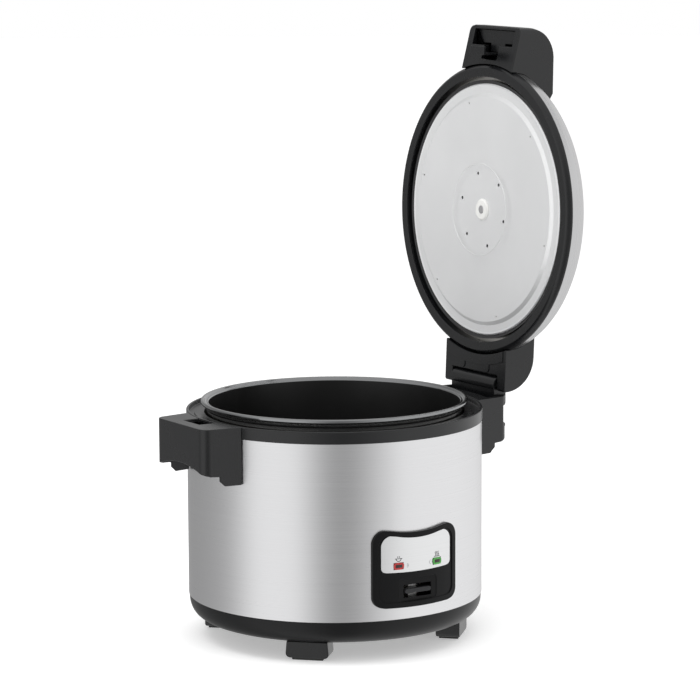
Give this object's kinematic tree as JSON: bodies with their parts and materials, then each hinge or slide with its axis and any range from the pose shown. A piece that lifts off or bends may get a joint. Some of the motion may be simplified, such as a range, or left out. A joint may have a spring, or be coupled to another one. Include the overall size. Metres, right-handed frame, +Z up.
{
  "type": "rice cooker",
  "caption": "Round catering rice cooker in steel with dark mouldings, its domed lid hinged open beside a deep removable pot.",
  "frame": {"origin": "on the upright axis of the body, in the plane that the feet stand on", "axes": "+Z up; -Y towards the front with the control panel; +X towards the lid's hinge, -X towards the carry handle; the lid stands open at rest"},
  "size_m": [0.5523, 0.3955, 0.7956],
  "materials": {
    "dark_moulding": "satin, very fine grain",
    "steel": "brushed around the body",
    "sheet": "plain rolled",
    "zinc_steel": "zinc plated",
    "plate_aluminium": "white satin anodised",
    "cast_aluminium": "as cast",
    "nonstick": "dark grey non-stick",
    "rubber": "matt",
    "silicone": "satin",
    "white_silicone": "satin",
    "spring_steel": "bright",
    "magnet": "ground ferrite",
    "element": "heat darkened",
    "brass": "plain",
    "ceramic": "steatite white",
    "mica": "mica sheet",
    "switch_plastic": "plain",
    "cable": "silicone sheathed",
    "panel_plastic": "satin",
    "label": "satin silver film",
    "red_lens": "clear tinted",
    "green_lens": "clear tinted",
    "lever_plastic": "satin"
  },
  "bodies": {
    "cooker": {"feet": "dark_moulding", "foot_pads": "rubber", "foot_screws": "zinc_steel", "base_pan": "dark_moulding", "outer_shell": "steel", "top_ring": "dark_moulding", "carry_handle": "dark_moulding", "hinge_bracket": "dark_moulding", "hinge_pin": "zinc_steel", "inner_liner": "sheet", "liner_floor": "sheet", "heating_plate": "cast_aluminium", "heating_element": "element", "plate_posts": "zinc_steel", "thermostat_cup": "zinc_steel", "thermostat_spring": "spring_steel", "keep_warm_band": "mica", "lever_bracket": "zinc_steel", "lever_pin": "zinc_steel", "microswitch": "switch_plastic", "terminal_block": "ceramic", "thermal_fuse": "ceramic", "wiring": "cable", "inlet_surround": "dark_moulding", "power_inlet": "switch_plastic", "inlet_pins": "brass", "control_bezel": "panel_plastic", "label_plate": "label", "lamp_cook": "red_lens", "lamp_warm": "green_lens"},
    "pot": {"inner_pot": "nonstick"},
    "sensor": {"thermostat_head": "cast_aluminium"},
    "lever": {"lever_arm": "zinc_steel", "lever_magnet": "magnet", "cook_paddle": "lever_plastic"},
    "lid": {"lid_dome": "steel", "lid_ring": "dark_moulding", "lid_liner": "sheet", "plate_stud": "spring_steel", "latch_block": "dark_moulding", "latch_spring": "spring_steel", "hinge_block": "dark_moulding", "hinge_cover": "dark_moulding", "steam_seat": "dark_moulding"},
    "latch": {"latch_button": "dark_moulding", "latch_hook": "dark_moulding"},
    "plate": {"inner_plate": "plate_aluminium", "plate_grommet": "white_silicone", "lid_gasket": "silicone"},
    "cap": {"steam_cap": "dark_moulding"}
  },
  "joints": [
    {"name": "lid_hinge", "type": "hinge", "parent": "cooker", "child": "lid", "pos_m": [0.233, 0, 0.3165], "axis": [0, 1, 0], "range_deg": [-92.5, 0]},
    {"name": "latch_press", "type": "slide", "parent": "lid", "child": "latch", "axis": [-0.0436, 0, -0.999], "range_m": [0, 0.005], "stiffness_N_per_m": 400, "springref_m": -0.003, "deforming": ["latch_spring"]},
    {"name": "cook_lever", "type": "hinge", "parent": "cooker", "child": "lever", "pos_m": [0, -0.1092, 0.0355], "axis": [1, 0, 0], "range_deg": [0, 3], "stiffness_Nm_per_rad": 4, "springref_deg": -5.73},
    {"name": "thermostat_press", "type": "slide", "parent": "cooker", "child": "sensor", "axis": [0, 0, 1], "range_m": [-0.003, 0], "stiffness_N_per_m": 600, "springref_m": 0.004, "deforming": ["thermostat_spring"]},
    {"name": "pot_lift", "type": "slide", "parent": "cooker", "child": "pot", "axis": [0, 0, 1], "range_m": [0, 0.25]},
    {"name": "plate_pull", "type": "slide", "parent": "lid", "child": "plate", "axis": [-0.999, 0, 0.0436], "range_m": [0, 0.012]},
    {"name": "cap_pull", "type": "slide", "parent": "lid", "child": "cap", "axis": [0.999, 0, -0.0436], "range_m": [0, 0.02]}
  ]
}
